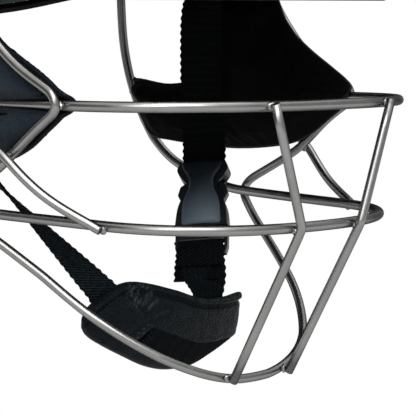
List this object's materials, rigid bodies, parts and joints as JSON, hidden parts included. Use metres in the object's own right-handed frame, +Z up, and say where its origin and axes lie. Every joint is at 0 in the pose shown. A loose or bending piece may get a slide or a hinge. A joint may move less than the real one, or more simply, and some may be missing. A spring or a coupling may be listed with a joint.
{
  "type": "goalie mask",
  "caption": "Helmet-type face mask with a domed shell, brow peak, bent-wire cage, padded ear flaps and a chin strap with a padded cup and a side-release buckle.",
  "frame": {"origin": "midway between the wearer's ears at the height of the upper bar", "axes": "+Z up, -Y the way the wearer faces, +X to the wearer's left"},
  "size_m": [0.2024, 0.2603, 0.2802],
  "materials": {
    "shell_green": "satin bottle-green moulded plastic",
    "black_trim": "matt black rubber bead",
    "grey_foam": "matt closed-cell foam",
    "black_lining": "matt black lining cloth",
    "steel_wire": "drawn and lightly brushed steel wire",
    "plated_fastener": "zinc-plated steel",
    "navy_vinyl": "grained navy-black vinyl",
    "black_webbing": "ribbed black webbing",
    "black_leather": "grained black synthetic leather",
    "black_fabric": "woven black fabric",
    "black_plastic": "satin black moulded plastic"
  },
  "bodies": {
    "helmet": {"outer_shell": "shell_green", "peak": "shell_green", "shell_edge_trim": "black_trim", "peak_edge_trim": "black_trim", "impact_liner": "grey_foam", "brow_pad": "black_lining", "rear_pad": "black_lining", "crown_pad": "black_lining", "peak_screw_left": "plated_fastener", "peak_screw_right": "plated_fastener", "peak_nut_left": "plated_fastener", "peak_nut_right": "plated_fastener", "strap_rivet_left": "plated_fastener", "strap_rivet_right": "plated_fastener", "upper_bar": "steel_wire", "lower_bar": "steel_wire", "rim_wire": "steel_wire", "upright_left": "steel_wire", "upright_right": "steel_wire", "side_strut_left": "steel_wire", "side_strut_right": "steel_wire", "cage_clip_front_left": "steel_wire", "cage_screw_front_left": "plated_fastener", "cage_nut_front_left": "plated_fastener", "cage_clip_front_right": "steel_wire", "cage_screw_front_right": "plated_fastener", "cage_nut_front_right": "plated_fastener", "cage_clip_rear_left": "steel_wire", "cage_screw_rear_left": "plated_fastener", "cage_nut_rear_left": "plated_fastener", "cage_clip_rear_right": "steel_wire", "cage_screw_rear_right": "plated_fastener", "cage_nut_rear_right": "plated_fastener", "ear_pad_left": "navy_vinyl", "ear_pad_right": "navy_vinyl"},
    "chin_sling": {"chin_strap_right": "black_webbing", "chin_strap_left_upper": "black_webbing", "chin_strap_left_lower": "black_webbing", "chin_cup": "black_leather", "chin_band": "black_fabric", "buckle_socket": "black_plastic", "buckle_plug": "black_plastic"},
    "prong_front": {"buckle_prong_front": "black_plastic"},
    "prong_rear": {"buckle_prong_rear": "black_plastic"}
  },
  "joints": [
    {"name": "chin_sling_swing", "type": "hinge", "parent": "helmet", "child": "chin_sling", "pos_m": [0, -0.004, 0.07], "axis": [-1, 0, 0], "range_deg": [-6, 10]},
    {"name": "prong_front_press", "type": "hinge", "parent": "chin_sling", "child": "prong_front", "pos_m": [0.05003, -0.03037, -0.06216], "axis": [-0.7424, -0.4286, 0.5149], "range_deg": [0, 6], "stiffness_Nm_per_rad": 0.3},
    {"name": "prong_rear_press", "type": "hinge", "parent": "chin_sling", "child": "prong_rear", "pos_m": [0.04019, -0.01526, -0.06377], "axis": [0.7424, 0.4286, -0.5149], "range_deg": [0, 6], "stiffness_Nm_per_rad": 0.3}
  ]
}
